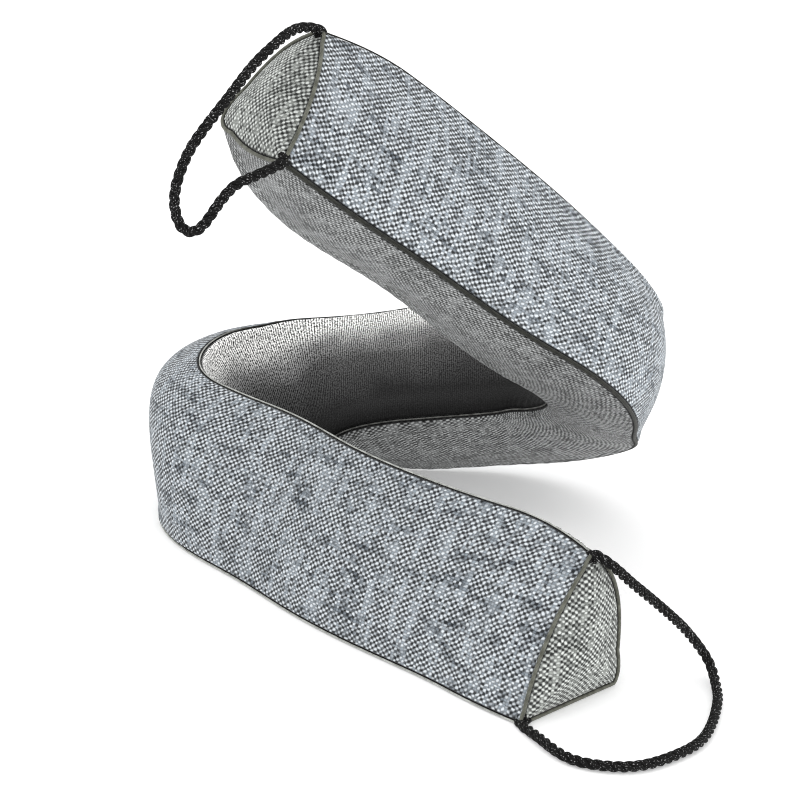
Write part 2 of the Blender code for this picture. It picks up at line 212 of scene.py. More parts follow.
# Its tones: their bands' length and breadth, how fast a yarn's own tone changes with
# each step, what keeps two yarns' tones apart, how much the crossings differ, and
# the brightness of the gaps between them
TONE_LONG = 0.030
TONE_SHORT = 0.006
TONE_PER_STEP = 0.16
YARNS_APART = 5.37
TONE_SEEDS = (2.7, 0.54)
CHANCE_TONE = 0.30
GAP_SHADE = 0.5

# The ribbed cloth: its ribs' width, its grain along and across it, and how much more
# the grain stands out than the ribs
RIB_PITCH = 0.00125
GRAIN_SIZE = (0.0009, 0.0012)
GRAIN_WEIGHT = 3.2

# Its painted highlight: it is painted pale at the ridge, where the cloth turns up to the light, and
# fades darker down from it, between two distances that include the middle of a drift. The fade is
# given in shares of the way.
FADE_FROM = 0.010
FADE_TO = 0.107
FADE_DRIFT = 0.02
FADE_DRIFT_SIZE = 0.03
BACK_PAINTED_HIGHLIGHT = (
    (0.0, "#e0e0de"),
    (0.155, "#cacac8"),
    (0.30, "#7c7c7c"),
    (0.44, "#4c4c4c"),
    (0.8, "#1a1a1a"),
    (1.0, "#0c0c0c"),
)

# The pipings' covers: the lines of their twill and how much these show, their worn patches, and the
# length along a seam where their colours change, to a paler pair that is a painted highlight on the
# seams' piping
TWILL_PITCH = 0.0009
TWILL_TONE = 0.12
WORN_SIZE = 0.004
HIGHLIGHT_FROM = 0.60
HIGHLIGHT_OVER = 0.05

# The rope's yarns and flecks
ROPE_YARN_PITCH = 0.0011
ROPE_YARN_SLANT = 1.4
FLECK_SIZE = 0.0008

# The picture: the camera's tilt and turn in degrees, the height that it looks at, its
# distance, and its lens and filter in millimetres and pixels
ELEVATION = 20.249
ROLL = 3.730
AIM_HEIGHT = 0.0943
DISTANCE = 1.1928
LENS = 96.5
PIXEL_FILTER = 1.1

# The studio: its floor, and its lamps with their place, size and power
FLOOR_REACH = 6
FLOOR_GLOW = 0.22
LAMPS = (
    ("over", (-0.4, 0.1, 1.9), 1.6, 8),
    ("left", (-1.4, -1.5, 1.2), 1.2, 5),
    ("low", (0.9, -1.5, 0.2), 0.8, 5),
    ("near", (0.8, -0.3, 0.12), 0.3, 1.4),
)
LAMPS_AIM = (0, 0, 0.1)


def spline(rows):
    """A smooth natural curve through equally spaced rows, as a function of 0 to 1."""
    values = np.array(rows, float)
    last = len(values) - 1
    system = np.eye(last + 1)
    right = np.zeros_like(values)
    for i in range(1, last):
        system[i, i - 1:i + 2] = (1, 4, 1)
        right[i] = 6 * (values[i - 1] - 2 * values[i] + values[i + 1])
    bends = np.linalg.solve(system, right)

    def at(t):
        place = min(max(t, 0.0), 1.0) * last
        i = min(int(place), last - 1)
        b = place - i
        a = 1 - b
        curve = a * values[i] + b * values[i + 1]
        return curve + ((a ** 3 - a) * bends[i] + (b ** 3 - b) * bends[i + 1]) / 6

    return at


STATION = spline(STATIONS)


def unit(vector):
    return vector / np.linalg.norm(vector)


def measure(line):
    return np.concatenate(((0,), np.cumsum(np.linalg.norm(np.diff(line, axis=0), axis=1))))


def ease(value):
    value = min(max(value, 0.0), 1.0)
    return value * value * (3 - 2 * value)


def frame_at(t):
    """The section's middle, the way along, the side towards the front, and the ridge."""
    row = STATION(t)
    ahead, behind = STATION(min(t + NEARBY, 1)), STATION(max(t - NEARBY, 0))
    along = unit(ahead[MIDDLE] - behind[MIDDLE])
    ridge = unit(row[RIDGE] - along * row[RIDGE].dot(along))
    middle = row[MIDDLE] / 1000 + np.array((-ORIGIN[0], -ORIGIN[1], FLOOR_RISE))
    return middle, along, np.cross(along, ridge), ridge


def corners_at(t):
    """The three corners in the section's plane: front-base, front-back, base-back."""
    front, back, tall = STATION(t)[REACHES]
    near = min(t, 1 - t, END_REACH) / END_REACH
    size = 1 - END_DRAW_IN * (1 - near) ** 2
    low = -HEIGHT * tall / 3
    lift = UPPER_END_LIFT * max(0.0, 1 - t / LIFT_REACH) ** 2
    front_base = np.array((BASE_WIDTH * front / 2, low)) * size
    front_back = np.array((0, -2 * low)) * size
    base_back = np.array((-BASE_WIDTH * back / 2, low)) * size + np.array((0, lift))
    return front_base, front_back, base_back


def crowned(start, end, crown, share):
    """A point of a face: crown holds its swell, and how far that leans to the face's end."""
    swell, lean = crown
    way = unit(end - start)
    rise = 4 * swell * share * (1 - share) * (1 + lean * (2 * share - 1))
    return start + (end - start) * share + np.array((way[1], -way[0])) * rise


def round_point(corner, before_leg, after_leg, portion):
    """A point of the rounding, which passes through the corner half way round."""
    control = 2 * corner - (before_leg + after_leg) / 2
    a = 1 - portion
    return a * a * before_leg + 2 * a * portion * control + portion * portion * after_leg


def corner_legs(corners, crowns, rounds, side):
    """Where the rounding of the corner that starts a side leaves the two faces it joins."""
    start, end, before = corners[side], corners[(side + 1) % 3], corners[(side + 2) % 3]
    share_after = rounds[side] / np.linalg.norm(end - start)
    share_before = 1 - rounds[side] / np.linalg.norm(start - before)
    after_leg = crowned(start, end, crowns[side], share_after)
    before_leg = crowned(before, start, crowns[(side + 2) % 3], share_before)
    return before_leg, after_leg


def outline_at(t):
    """The section's outline, from the front-base seam round the front, back and base."""
    crown, shoulder = STATION(t)[SWELL]
    ending = max(0.0, 1 - min(t, 1 - t) / END_BACK_REACH) ** 2
    back = BACK_CROWN + (END_BACK_CROWN - BACK_CROWN) * ending
    crowns = ((FRONT_CROWN * crown, shoulder), (back, END_BACK_LEAN * ending), (BASE_CROWN, 0))
    rounds = (FRONT_BASE_ROUND, FRONT_BACK_ROUND, BASE_BACK_ROUND)
    corners = corners_at(t)
    line = []
    for side in range(3):
        start, end = corners[side], corners[(side + 1) % 3]
        length = np.linalg.norm(end - start)
        first = rounds[side] / length
        last = 1 - rounds[(side + 1) % 3] / length
        before_leg, after_leg = corner_legs(corners, crowns, rounds, side)
        line += [round_point(start, before_leg, after_leg, 0.5 + 0.5 * i / ROUND_STEPS)
                 for i in range(ROUND_STEPS)]
        line += [crowned(start, end, crowns[side], first + (last - first) * i / FACE_STEPS)
                 for i in range(FACE_STEPS)]
        before_leg, after_leg = corner_legs(corners, crowns, rounds, (side + 1) % 3)
        line += [round_point(end, before_leg, after_leg, 0.5 * i / ROUND_STEPS)
                 for i in range(ROUND_STEPS)]
    return np.array(line)


def moved_in(line, depth):
    """A closed outline moved into the section."""
    along = np.roll(line, -1, axis=0) - np.roll(line, 1, axis=0)
    along /= np.linalg.norm(along, axis=1)[:, None]
    return line + np.stack((-along[:, 1], along[:, 0]), axis=1) * depth


def face_of(line, side):
    """One face of a closed outline, from its seam to the next."""
    count = 2 * ROUND_STEPS + FACE_STEPS
    return np.roll(line, -side * count, axis=0)[:count + 1]


def across(line, side, cut, columns, depth=0.0, rims=()):
    """Points across a face, clear of both seams by cut, and their distance from its first seam.
    They are even, apart from those at the distances in rims from either edge."""
    far = measure(face_of(line, side))
    first, last = cut, far[-1] - cut
    inner = rims[-1] if rims else 0.0
    even = np.linspace(first + inner, last - inner, columns + 1 - 2 * len(rims))
    near = [first + r for r in (0.0,) + rims[:-1]] if rims else []
    wanted = np.concatenate((near, even, [first + last - n for n in near[::-1]]))
    deep = face_of(moved_in(line, depth), side)
    return np.stack([np.interp(wanted, far, deep[:, k]) for k in (0, 1)], axis=1), wanted


def settling(t):
    """How far the base's two corners are raised or lowered to lie on the floor."""
    middle, along, side, ridge = frame_at(t)
    front_base, _, base_back = corners_at(t)
    moves = []
    for corner, begins in ((front_base, FRONT_BASE_LANDS), (base_back, BASE_BACK_LANDS)):
        height = (middle + corner[0] * side + corner[1] * ridge)[2]
        wanted = PIPING_RADIUS - height
        landed = ease((t - begins) / LANDING)
        moves.append(landed * wanted + (1 - landed) * max(0.0, wanted))
    return front_base[0], base_back[0], moves


def placed(t, points, lowest):
    """Points of the section's plane in the world, never lower than lowest."""
    middle, along, side, ridge = frame_at(t)
    reach = max(0.0, 1 - t / SKEW_REACH)
    shift = points[:, 0] * UPPER_END_SKEW * reach ** 2
    world = middle + points[:, :1] * side + points[:, 1:2] * ridge + shift[:, None] * along
    front, back, (front_move, back_move) = settling(t)
    share = (points[:, 0] - back) / (front - back)
    world[:, 2] += back_move + (front_move - back_move) * np.clip(share, 0, 1)
    world[:, 2] = np.maximum(world[:, 2], lowest)
    return world


def relief(run, distance, width, seed):
    """The soft unevenness of stuffed cloth, with small puckers along both seams."""
    rise = np.empty(len(distance))
    for i, v in enumerate(distance):
        edge = min(v, width - v)
        swell = noise.noise(Vector((run / SOFT_SWELL_SIZE, v / SOFT_SWELL_SIZE, seed)))
        phase = noise.noise(Vector((run / SOFT_SWELL_SIZE, seed, 0))) * math.pi
        side = 1 if v < width / 2 else -1
        ripple = math.sin(2 * math.pi * run / PUCKER_PITCH + phase * PUCKER_DRIFT + side)
        inside = min(1, edge / PUCKER_REACH)
        begins = min(1, edge / PUCKER_STARTS)
        dip = SEAM_DIP * max(0, 1 - edge / SEAM_TURN) ** 2
        rise[i] = SOFT_SWELL * swell * inside + PUCKER * ripple * (1 - inside) * begins - dip
    return rise


WALK = measure(np.array([frame_at(i / WALK_STEPS)[0] for i in range(WALK_STEPS + 1)]))[-1]


def lay_grid(bm, points, flat, wrap=False):
    """Adds a grid over rows of points. flat holds each point's place on the flat cloth,
    which becomes the cloth's own map, and its distance from the nearest seam."""
    rows, columns = len(points) - 1, len(points[0]) - 1
    made = bmesh.ops.create_grid(bm, x_segments=columns, y_segments=rows, size=0.5)["verts"]
    spots = {}
    for k, vert in enumerate(made):
        spot = (k // (columns + 1), k % (columns + 1))
        vert.co = Vector(points[spot[0]][spot[1]])
        spots[vert] = spot
    cloth = bm.loops.layers.uv.get("cloth") or bm.loops.layers.uv.new("cloth")
    seam = bm.loops.layers.uv.get("seam") or bm.loops.layers.uv.new("seam")
    for face in {face for vert in made for face in vert.link_faces}:
        for loop in face.loops:
            row, column = spots[loop.vert]
            run, width, edge = flat[row][column]
            loop[cloth].uv = run, width
            loop[seam].uv = edge, 0
    if wrap:
        bmesh.ops.remove_doubles(bm, verts=made, dist=GRID_MERGE)


def finished(bm, name, material, closed=True):
    """The bmesh as a smooth piece of the object that rides on its body."""
    if closed:
        rims = [edge for edge in bm.edges if edge.is_boundary]
        if rims:
            bmesh.ops.holes_fill(bm, edges=rims, sides=0)
        bmesh.ops.recalc_face_normals(bm, faces=bm.faces)
        if bm.calc_volume(signed=True) < 0:
            bmesh.ops.reverse_faces(bm, faces=bm.faces)
    else:
        bmesh.ops.reverse_faces(bm, faces=bm.faces)
    mesh = bpy.data.meshes.new(name)
    bm.to_mesh(mesh)
    bm.free()
    mesh.shade_smooth()
    mesh.materials.append(material)
    piece = bpy.data.objects.new(name, mesh)
    bpy.context.scene.collection.objects.link(piece)
    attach(piece, "root")
    return piece


def rim_distance(widths):
    """How far each place across a face is from the nearer edge."""
    return np.minimum(widths - widths[0], widths[-1] - widths)


def places():
    clear = TUCK / WALK
    return np.linspace(clear, 1 - clear, ROWS + 1)


def mid_lengths(points):
    """The distance along the middle of a face, the same all across it."""
    middle = np.array([row[len(row) // 2] for row in points])
    return np.repeat(measure(middle)[:, None], len(points[0]), axis=1)


def column_lengths(points):
    """The distance along each thread from the nearer end, joined about the middle run."""
    lanes = np.array(points)
    steps = np.linalg.norm(np.diff(lanes, axis=0), axis=2)
    zero = np.zeros((1, lanes.shape[1]))
    from_start = np.concatenate((zero, np.cumsum(steps, axis=0)))
    total = from_start[-1, lanes.shape[1] // 2]
    from_end = total - (from_start[-1] - from_start)
    last = len(lanes) - 1
    share = [ease((i / last - JOIN_FROM) / JOIN_OVER) for i in range(last + 1)]
    share = np.array(share)[:, None]
    return from_start * (1 - share) + from_end * share


def face_grid(side):
    """A face's points and their distances across it, with the cloth's unevenness."""
    points, widths = [], []
    for t in places():
        spread, distance = across(outline_at(t), side, TUCK, COLUMNS[side], rims=SEAM_RIMS)
        way = np.gradient(spread, axis=0)
        way /= np.linalg.norm(way, axis=1)[:, None]
        rise = relief(t * WALK, distance - TUCK, distance[-1] - TUCK, SEEDS[side])
        spread = spread + np.stack((way[:, 1], -way[:, 0]), axis=1) * rise[:, None]
        points.append(placed(t, spread, 0.0))
        widths.append(distance)
    return points, np.array(widths)


def stuffed_front(material):
    """The front cloth over the filling, one closed form whose hidden sides lie under the
    other two cloths."""
    points, widths = face_grid(FRONT)
    runs = column_lengths(points)
    columns = COLUMNS[FRONT]
    rings, flat = [], []
    for row, t in enumerate(places()):
        line = outline_at(t)
        edges = across(line, FRONT, SEAM_CLEARANCE, 1, UNDER_CLOTH)[0]
        behind = across(line, BACK, SEAM_CLEARANCE, HIDDEN_COLUMNS, UNDER_CLOTH)[0]
        below = across(line, BASE, SEAM_CLEARANCE, HIDDEN_COLUMNS, UNDER_CLOTH)[0]
        hidden = np.concatenate((edges[-1:], behind, below, edges[:1]))
        ring = np.concatenate((points[row], placed(t, hidden, UNDER_CLOTH), points[row][:1]))
        rings.append(ring)
        extra = widths[row][-1] + measure(ring[columns:])[1:]
        from_seam = np.concatenate((rim_distance(widths[row]), np.zeros(len(extra))))
        flat.append([(runs[row][min(i, columns)], v, from_seam[i])
                     for i, v in enumerate(np.concatenate((widths[row], extra)))])
    bm = bmesh.new()
    lay_grid(bm, rings, flat, wrap=True)
    piece = finished(bm, "stuffed_front", material)
    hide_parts("front_body")
    return piece


def thicken(piece):
    """Gives a cloth its thickness, inwards from its outer side."""
    wall = piece.modifiers.new("cloth", "SOLIDIFY")
    wall.thickness = CLOTH
    wall.offset = -1


def sewn_sheet(name, node, side, material):
    """A cloth sewn on along both its seams, drawn taut over the filling."""
    points, widths = face_grid(side)
    runs = mid_lengths(points)
    flat = [list(zip(runs[row], widths[row], rim_distance(widths[row])))
            for row in range(len(points))]
    bm = bmesh.new()
    lay_grid(bm, points, flat)
    piece = finished(bm, name, material, closed=False)
    thicken(piece)
    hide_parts(node)
    return piece


def end_cloth(level, t, material):
    """The rounded triangle that closes an end, gently domed."""
    sign = -1 if t == 0 else 1
    line = outline_at(t)
    flat_rim = []
    for side in range(3):
        flat_rim += list(across(moved_in(line, TUCK), side, 0.0, END_COLUMNS // 3)[0][:-1])
    flat_rim = np.array(flat_rim + flat_rim[:1])
    _, along, _, _ = frame_at(t)
    rim = placed(t, flat_rim, PIPING_RADIUS + TUCK)
    centre = rim[:-1].mean(axis=0)
    middle = flat_rim[:-1].mean(axis=0)
    points, flat = [], []
    for share in END_RINGS:
        rise = END_DOME * (1 - share ** 2) * sign
        turned = max(0.0, (share - END_TURNS_FROM) / (1 - END_TURNS_FROM))
        tuck = -SEAM_DIP * sign * turned ** 2
        points.append(centre + (rim - centre) * share + (rise + tuck) * along)
        flat.append([(*(middle + (spot - middle) * share), (1 - share) * END_INNER)
                     for spot in flat_rim])
    bm = bmesh.new()
    lay_grid(bm, points, flat, wrap=True)
    # It faces inwards here, because an open cloth is turned over when it is finished
    bmesh.ops.recalc_face_normals(bm, faces=bm.faces)
    centre_face = min(bm.faces, key=lambda face: (face.calc_center_median() - Vector(centre)).length)
    if centre_face.normal.dot(Vector(along * sign)) > 0:
        bmesh.ops.reverse_faces(bm, faces=bm.faces)
    piece = finished(bm, "end_cloth_" + level, material, closed=False)
    thicken(piece)
    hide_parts("end_panel_" + level)
    return piece


def tube(bm, centres, sides, radius_at, closed=False, up=None):
    """A tube of rings along a line of centres, with its length and girth as its map."""
    line = np.array(centres)
    if closed:
        ways = np.roll(line[:-1], -1, axis=0) - np.roll(line[:-1], 1, axis=0)
        ways = np.concatenate((ways, ways[:1]))
    else:
        ways = np.gradient(line, axis=0)
    across_way = unit(np.cross(ways[0], up if up is not None else (0.3, 0.2, 1.0)))
    run = measure(line)
    rings, flat = [], []
    for i, centre in enumerate(line):
        way = unit(ways[i])
        if up is not None:
            across_way = np.cross(way, up)
        across_way = unit(across_way - way * across_way.dot(way))
        rise = np.cross(way, across_way)
        ring, spots = [], []
        for k in range(sides + 1):
            angle = 2 * math.pi * (k % sides) / sides
            radius = radius_at(run[i], angle)
            ring.append(centre + radius * (math.cos(angle) * across_way + math.sin(angle) * rise))
            spots.append((run[i], radius * 2 * math.pi * k / sides, FAR_FROM_SEAM))
        rings.append(ring)
        flat.append(spots)
    lay_grid(bm, rings, flat, wrap=True)


def covered(girth):
    """The radius of a piping: its bias-cut cover wrinkles a little along the cord."""

    def radius_at(run, angle):
        wave = math.sin(2 * math.pi * run / WRINKLE_PITCH + WRINKLE_SLANT * math.sin(angle))
        lump = noise.noise(Vector((run / LUMP_SIZE, angle, 0)))
        return girth(run) * (1 + WRINKLE * wave + LUMP * lump)

    return radius_at


def fine_girth(run):
    """The two other long pipings are fine all along."""
    return FINE_PIPING


def front_base_girth(run):
    """The front-base piping is fuller along the first run than beyond its fold."""
    thinned = ease((run - FULL_UNTIL) / FULL_FALLS_OVER)
    return FULL_PIPING + (FINE_PIPING - FULL_PIPING) * thinned


def long_piping(name, node, side, girth, material):
    """The piping in a long seam."""
    centres = []
    for t in places():
        centres.append(placed(t, face_of(outline_at(t), side)[:1], PIPING_RADIUS)[0])
    bm = bmesh.new()
    tube(bm, centres, PIPING_SIDES, covered(girth))
    piece = finished(bm, name, material)
    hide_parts(node)
    return piece


def end_piping(level, t, material):
    """The piping round an end panel."""
    line = outline_at(t)
    rim = np.concatenate((line, line[:1]))
    far = measure(rim)
    wanted = np.linspace(0, far[-1], END_PIPING_STEPS + 1)
    even = np.stack([np.interp(wanted, far, rim[:, k]) for k in (0, 1)], axis=1)
    centres = placed(t, even, PIPING_RADIUS)
    bm = bmesh.new()
    tube(bm, centres, PIPING_SIDES, covered(lambda run: END_PIPING), closed=True, up=frame_at(t)[1])
    bmesh.ops.remove_doubles(bm, verts=bm.verts, dist=RING_MERGE)
    piece = finished(bm, "end_piping_cord_" + level, material)
    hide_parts("end_piping_" + level)
    return piece


def seam_corner(t, side):
    """The corner of an end's outline where a side starts: front-base for the front,
    front-back for the back and base-back for the base."""
    return placed(t, face_of(outline_at(t), side)[:1], PIPING_RADIUS)[0]


def rope_line(t, route):
    """Even points along the rope, from the ridge corner round to the front-base corner."""
    shift = np.array((ORIGIN[0], ORIGIN[1], 0))
    points = [np.array(p) / 1000 - shift for p in route]
    start, end = seam_corner(t, BACK), seam_corner(t, FRONT)
    inside = frame_at(t)[0]
    first = start + unit(inside - start) * ROPE_SEWN_IN
    last = end + unit(inside - end) * ROPE_SEWN_IN
    curve = spline([first, start] + points + [end, last])
    fine = np.array([curve(i / ROUTE_STEPS) for i in range(ROUTE_STEPS + 1)])
    far = measure(fine)
    count = int(round(far[-1] / (ROPE_LAY / ROPE_STEPS_PER_LAY)))
    wanted = np.linspace(0, far[-1], count + 1)
    return np.stack([np.interp(wanted, far, fine[:, k]) for k in range(3)], axis=1), start, far[-1]


def rope_loop(level, t, route, material):
    """A laid rope of three strands, fuller where it is bound into the front-base corner."""
    line, corner, length = rope_line(t, route)
    ways = np.gradient(line, axis=0)
    side = unit(np.cross(ways[0], (0, 0, 1)))
    offsets = []
    step = length / (len(line) - 1)
    for i in range(len(line)):
        way = unit(ways[i])
        side = unit(side - way * side.dot(way))
        up = np.cross(way, side)
        to_end = (len(line) - 1 - i) * step
        swell = 1 + ROPE_SWELL * (1 - ease(to_end / ROPE_SWELL_LENGTH))
        offsets.append((side, up, swell))
    bm = bmesh.new()
    strand_radius = ROPE_RADIUS * STRAND_SHARE
    for strand in range(ROPE_STRANDS):
        centres = []
        for i, (side, up, swell) in enumerate(offsets):
            angle = 2 * math.pi * (i * step / ROPE_LAY + strand / ROPE_STRANDS)
            reach = (ROPE_RADIUS - strand_radius) * swell
            centre = line[i] + reach * (math.cos(angle) * side + math.sin(angle) * up)
            centre[2] = max(centre[2], strand_radius * swell)
            centres.append(centre)
        swells = [o[2] for o in offsets]
        runs = measure(np.array(centres))

        def radius_at(run, angle):
            fuzz = ROPE_FUZZ * noise.noise(Vector((run / ROPE_FUZZ_SIZE, angle, strand)))
            return strand_radius * (np.interp(run, runs, swells) + fuzz)

        tube(bm, centres, STRAND_SIDES, radius_at)
    piece = finished(bm, "rope_" + level, material)
    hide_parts("rope_loop_" + level)
    return piece


def linear(code):
    """An sRGB hex colour turned to linear, with full alpha."""
    parts = [int(code[i:i + 2], 16) / 255 for i in (1, 3, 5)]
    return (*(p / 12.92 if p <= 0.04045 else ((p + 0.055) / 1.055) ** 2.4 for p in parts), 1.0)


def add(tree, kind, settings=None, links=None):
    """Adds a node with its settings, and links or sets its inputs."""
    node = tree.nodes.new(kind)
    for name, value in (settings or {}).items():
        setattr(node, name, value)
    for socket, source in (links or {}).items():
        if isinstance(source, bpy.types.NodeSocket):
            tree.links.new(source, node.inputs[socket])
        else:
            node.inputs[socket].default_value = source
    return node


def cloth_material(name, roughness, sheen):
    """A fabric material with an even roughness and sheen: its tree and the cloth's own map."""
    material = bpy.data.materials.new(name)
    material.use_nodes = True
    tree = material.node_tree
    shader = tree.nodes["Principled BSDF"]
    shader.inputs["Roughness"].default_value = roughness
    shader.inputs["Sheen Weight"].default_value = sheen
    shader.inputs["Specular IOR Level"].default_value = 0.25
    spot = add(tree, "ShaderNodeUVMap", {"uv_map": "cloth"}).outputs[0]
    return material, tree, spot


def dress(tree, colour, height, strength, depth):
    """Gives a material its colour and the relief of its threads."""
    bump = add(tree, "ShaderNodeBump", None,
               {"Strength": strength, "Distance": depth, "Height": height})
    shader = tree.nodes["Principled BSDF"]
    tree.links.new(colour, shader.inputs["Base Color"])
    tree.links.new(bump.outputs[0], shader.inputs["Normal"])


def waves(tree, run, pitch):
    """Waves along run, as far apart as pitch."""
    turned = add(tree, "ShaderNodeMath", {"operation": "MULTIPLY"},
                 {0: run, 1: 2 * math.pi / pitch})
    return add(tree, "ShaderNodeMath", {"operation": "SINE"}, {0: turned.outputs[0]}).outputs[0]


def seam_shade(tree, darkest):
    """The shade in the crease beside a piping, as a factor for the colour."""
    edge = add(tree, "ShaderNodeUVMap", {"uv_map": "seam"}).outputs[0]
    parts = add(tree, "ShaderNodeSeparateXYZ", None, {0: edge})
    return add(tree, "ShaderNodeMapRange", {"interpolation_type": "SMOOTHSTEP"},
               {"Value": parts.outputs[0], "From Min": SHADE_FROM, "From Max": SHADE_TO,
                "To Min": darkest, "To Max": 1.0}).outputs[0]


def woven(name, pale, dull, dark, faded, cloudiness):
    """Melange polyester in a plain weave. The yarns that run round the excluder are dark with
    faded lengths, those that run along it are pale and slubby, and they show in turn as a
    chequer of small slanted blobs with dark gaps between them."""
    material, tree, spot = cloth_material(name, 0.92, 0.1)
    # The yarns wander a little, so that no two crossings are alike
    stray = add(tree, "ShaderNodeTexNoise", {"noise_dimensions": "2D"},
                {"Vector": spot, "Scale": 1 / STRAY_SIZE, "Detail": 3.0, "Roughness": 0.6})
    centred = add(tree, "ShaderNodeVectorMath", {"operation": "SUBTRACT"},
                  {0: stray.outputs["Color"], 1: (0.5, 0.5, 0.5)})
    wander = add(tree, "ShaderNodeVectorMath", {"operation": "SCALE"},
                 {0: centred.outputs[0], "Scale": STRAY})
    bent = add(tree, "ShaderNodeVectorMath", {"operation": "ADD"}, {0: spot, 1: wander.outputs[0]})
    yarns = add(tree, "ShaderNodeMapping", None,
                {0: bent.outputs[0], "Scale": (1 / YARN_ALONG, 1 / YARN_ACROSS, 0)})
    whole = add(tree, "ShaderNodeVectorMath", {"operation": "FLOOR"}, {0: yarns.outputs[0]})
    x, y = add(tree, "ShaderNodeSeparateXYZ", None, {0: yarns.outputs[0]}).outputs[:2]
    column, row = add(tree, "ShaderNodeSeparateXYZ", None, {0: whole.outputs[0]}).outputs[:2]
    both = add(tree, "ShaderNodeMath", {"operation": "ADD"}, {0: row, 1: column})
    # 1 where the pale yarn along the excluder lies on top
    top = add(tree, "ShaderNodeMath", {"operation": "FLOORED_MODULO"},
              {0: both.outputs[0], 1: 2.0}).outputs[0]
    # Each crossing shows as a small oval that lies aslant, as the yarns' own twist pulls it
    within = add(tree, "ShaderNodeVectorMath", {"operation": "FRACTION"}, {0: yarns.outputs[0]})
    turned = add(tree, "ShaderNodeMapping", {"vector_type": "TEXTURE"},
                 {0: within.outputs[0], "Location": (0.5, 0.5, 0),
                  "Rotation": (0, 0, math.radians(OVAL_TURN)), "Scale": OVAL})
    from_middle = add(tree, "ShaderNodeVectorMath", {"operation": "LENGTH"}, {0: turned.outputs[0]})
    chance = add(tree, "ShaderNodeTexWhiteNoise", {"noise_dimensions": "2D"},
                 {"Vector": whole.outputs[0]})
    fullness = add(tree, "ShaderNodeMapRange", None,
                   {"Value": chance.outputs["Value"], "From Min": 0.0, "From Max": 1.0,
                    "To Min": LEAST_FULL, "To Max": 1.0})
    height = add(tree, "ShaderNodeMapRange", {"interpolation_type": "SMOOTHSTEP"},
                 {"Value": from_middle.outputs["Value"], "From Min": OVAL_CORE, "From Max": 1.0,
                  "To Min": fullness.outputs[0], "To Max": 0.0}).outputs[0]
    # Each yarn has pale and dark lengths of its own, and whole bands of yarns drift together
    tones = []
    for own, along, band_size, seed in (
        (row, x, (TONE_LONG, TONE_SHORT), TONE_SEEDS[0]),
        (column, y, (TONE_SHORT, TONE_LONG), TONE_SEEDS[1]),
    ):
        apart = add(tree, "ShaderNodeMath", {"operation": "MULTIPLY"}, {0: own, 1: YARNS_APART})
        slow = add(tree, "ShaderNodeMath", {"operation": "MULTIPLY"}, {0: along, 1: TONE_PER_STEP})
        place = add(tree, "ShaderNodeCombineXYZ", None,
                    {0: apart.outputs[0], 1: slow.outputs[0], 2: seed})
        single = add(tree, "ShaderNodeTexNoise", None,
                     {"Vector": place.outputs[0], "Scale": 1.0, "Detail": 2.0})
        squeezed = add(tree, "ShaderNodeMapping", None,
                       {0: spot, "Scale": (1 / band_size[0], 1 / band_size[1], 1)})
        band = add(tree, "ShaderNodeTexNoise", {"noise_dimensions": "2D"},
                   {"Vector": squeezed.outputs[0], "Scale": 1.0, "Detail": 3.0, "Roughness": 0.6})
        drift = add(tree, "ShaderNodeMath", {"operation": "SUBTRACT"},
                    {0: band.outputs["Fac"], 1: 0.5})
        tone = add(tree, "ShaderNodeMath", {"operation": "MULTIPLY_ADD"},
                   {0: drift.outputs[0], 1: cloudiness, 2: single.outputs["Fac"]})
        odd = add(tree, "ShaderNodeMath", {"operation": "SUBTRACT"},
                  {0: chance.outputs["Value"], 1: 0.5})
        tones.append(add(tree, "ShaderNodeMath", {"operation": "MULTIPLY_ADD"},
                         {0: odd.outputs[0], 1: CHANCE_TONE, 2: tone.outputs[0]}).outputs[0])
    pale_share = add(tree, "ShaderNodeMapRange", None,
                     {"Value": tones[0], "From Min": 0.12, "From Max": 0.50})
    faded_share = add(tree, "ShaderNodeMapRange", None,
                      {"Value": tones[1], "From Min": 0.50, "From Max": 0.72})
    along_yarn = add(tree, "ShaderNodeMix", {"data_type": "RGBA"},
                     {0: pale_share.outputs[0], 6: linear(dull), 7: linear(pale)}).outputs[2]
    round_yarn = add(tree, "ShaderNodeMix", {"data_type": "RGBA"},
                     {0: faded_share.outputs[0], 6: linear(dark), 7: linear(faded)}).outputs[2]
    yarn = add(tree, "ShaderNodeMix", {"data_type": "RGBA"},
               {0: top, 6: round_yarn, 7: along_yarn}).outputs[2]
    # Between the ovals both yarns show a little, in the shade
    blend = add(tree, "ShaderNodeMix", {"data_type": "RGBA"},
                {0: 0.5, 6: round_yarn, 7: along_yarn}).outputs[2]
    ground = add(tree, "ShaderNodeVectorMath", {"operation": "SCALE"},
                 {0: blend, "Scale": GAP_SHADE}).outputs[0]
    cloth = add(tree, "ShaderNodeMix", {"data_type": "RGBA"},
                {0: height, 6: ground, 7: yarn}).outputs[2]
    colour = add(tree, "ShaderNodeVectorMath", {"operation": "SCALE"},
                 {0: cloth, "Scale": seam_shade(tree, 0.06)})
    dress(tree, colour.outputs[0], height, 0.6, 0.0004)
    return material


